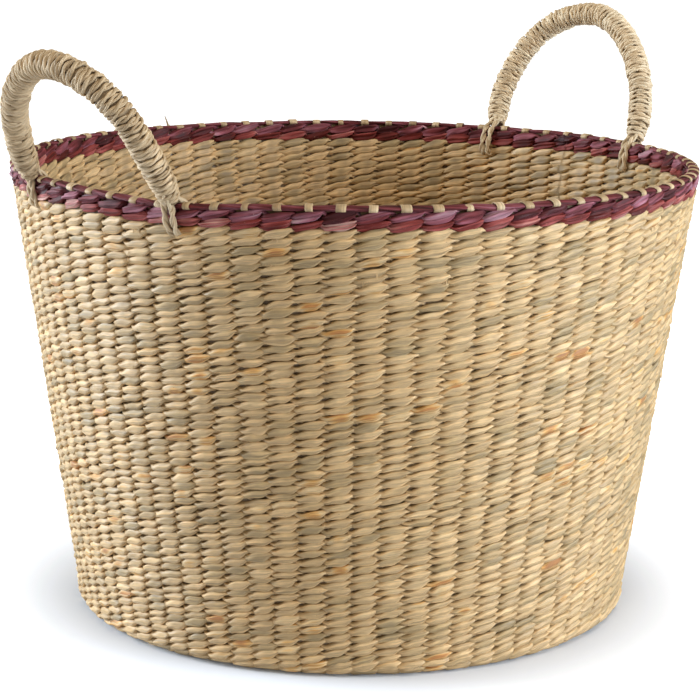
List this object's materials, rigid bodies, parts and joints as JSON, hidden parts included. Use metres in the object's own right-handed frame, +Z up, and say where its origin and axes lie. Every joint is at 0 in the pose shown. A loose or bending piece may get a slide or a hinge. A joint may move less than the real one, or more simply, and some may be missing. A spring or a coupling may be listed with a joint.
{
  "type": "storage basket",
  "caption": "Round open-topped seagrass storage basket that tapers to a flat base, twined over flat stakes, with dyed purple and red-brown rim rows and cord-wrapped loop handles.",
  "frame": {"origin": "middle of the underside of the base, on the floor", "axes": "+Z up through the opening; X runs through the middles of both handles, with the left handle at -X"},
  "size_m": [0.5124, 0.42, 0.3582],
  "materials": {
    "natural_seagrass": "dry twisted seagrass, matt with a slight sheen, straw with greenish and golden strands",
    "stake_seagrass": "flat split seagrass, pale straw, matt",
    "purple_seagrass": "dyed seagrass, deep purple, matt",
    "red_brown_seagrass": "dyed seagrass, red-brown, matt",
    "wrap_cord": "thin twisted seagrass cord, pale greyish beige, matt",
    "core_cord": "two-strand twisted seagrass cord, matt"
  },
  "bodies": {
    "basket": {"base_outside_weft": "natural_seagrass", "base_inside_weft": "natural_seagrass", "centre_plait": "stake_seagrass", "wall_outside_weft": "natural_seagrass", "wall_inside_weft": "natural_seagrass", "first_stakes": "stake_seagrass", "second_stakes": "stake_seagrass", "third_stakes": "stake_seagrass", "red_brown_row": "red_brown_seagrass", "purple_row": "purple_seagrass", "rim_roll": "purple_seagrass"},
    "left_handle": {"left_handle_core": "core_cord", "left_handle_wrap": "wrap_cord"},
    "right_handle": {"right_handle_core": "core_cord", "right_handle_wrap": "wrap_cord"}
  },
  "joints": [
    {"name": "left_handle_swing", "type": "hinge", "parent": "basket", "child": "left_handle", "pos_m": [-0.19572, 0, 0.266], "axis": [0, -1, 0], "range_deg": [-109, 51]},
    {"name": "right_handle_swing", "type": "hinge", "parent": "basket", "child": "right_handle", "pos_m": [0.19572, 0, 0.266], "axis": [0, 1, 0], "range_deg": [-107, 53]}
  ]
}
